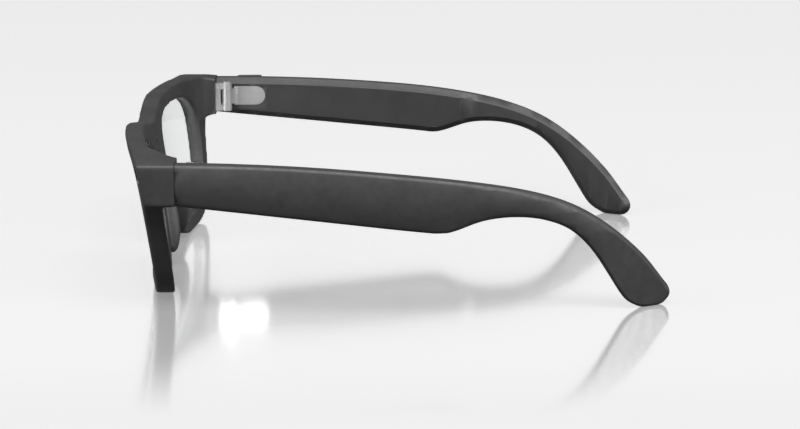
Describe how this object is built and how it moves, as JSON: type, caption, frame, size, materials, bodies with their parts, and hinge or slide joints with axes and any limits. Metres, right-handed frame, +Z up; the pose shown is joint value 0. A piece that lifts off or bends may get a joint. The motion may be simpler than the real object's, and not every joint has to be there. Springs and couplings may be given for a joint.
{
  "type": "smart glasses",
  "caption": "Smart glasses with clear lenses, a thick plastic front with camera and light in its ends, and hollow folding temples holding the electronics.",
  "frame": {"origin": "centre of the footprint on the surface that the open glasses stand on, lower rims and temple tips down", "axes": "+X to the wearer's left, +Y from the front back along the temples, +Z up"},
  "size_m": [0.1528, 0.165, 0.0486],
  "materials": {
    "frame_plastic": "matte black moulded plastic",
    "temple_plastic": "matte black moulded plastic",
    "cover_plastic": "matte black moulded plastic",
    "button_plastic": "satin black plastic",
    "lens": "clear, polished",
    "window": "dark tinted, polished",
    "hinge_metal": "satin steel",
    "ring_metal": "satin black coated metal",
    "can_metal": "tinned steel",
    "battery_foil": "foil wrapped pouch",
    "gold": "gold plated contacts",
    "light_guide": "clear moulded plastic",
    "flex": "amber polyimide ribbon",
    "board": "solder masked board",
    "component_black": "moulded component"
  },
  "bodies": {
    "front": {"front_frame": "frame_plastic", "left_lens": "lens", "right_lens": "lens", "brow_flex": "flex", "camera_module": "component_black", "camera_trim_ring": "ring_metal", "camera_window": "window", "light_board": "board", "light_guide": "light_guide", "light_trim_ring": "ring_metal", "light_window": "window", "bridge_microphone": "component_black", "charging_contacts": "gold", "left_hinge_front_leaf": "hinge_metal", "right_hinge_front_leaf": "hinge_metal", "left_hinge_screw": "hinge_metal", "right_hinge_screw": "hinge_metal"},
    "left_temple": {"left_temple_shell": "temple_plastic", "left_temple_cover": "cover_plastic", "left_hinge_temple_leaf": "hinge_metal", "battery": "battery_foil", "left_speaker": "component_black", "left_microphone": "component_black", "slide_switch": "component_black"},
    "power_slider": {"power_slider": "button_plastic"},
    "right_temple": {"right_temple_shell": "temple_plastic", "right_temple_cover": "cover_plastic", "right_hinge_temple_leaf": "hinge_metal", "main_board": "board", "processor_shield": "can_metal", "radio_shield": "can_metal", "touch_sensor": "flex", "right_speaker": "component_black", "right_microphone": "component_black", "tactile_switch": "component_black"},
    "capture_button": {"capture_button": "button_plastic"}
  },
  "joints": [
    {"name": "left_temple_fold", "type": "hinge", "parent": "front", "child": "left_temple", "pos_m": [0.0655, -0.0586, 0.04015], "axis": [0, 0, 1], "range_deg": [0, 88]},
    {"name": "right_temple_fold", "type": "hinge", "parent": "front", "child": "right_temple", "pos_m": [-0.0655, -0.0586, 0.04015], "axis": [0, 0, -1], "range_deg": [0, 72]},
    {"name": "power_slider_slide", "type": "slide", "parent": "left_temple", "child": "power_slider", "axis": [0.0379, 0.9963, -0.0775], "range_m": [0, 0.002]},
    {"name": "capture_button_press", "type": "slide", "parent": "right_temple", "child": "capture_button", "axis": [0, 0, -1], "range_m": [0, 0.0003], "stiffness_N_per_m": 2000}
  ]
}
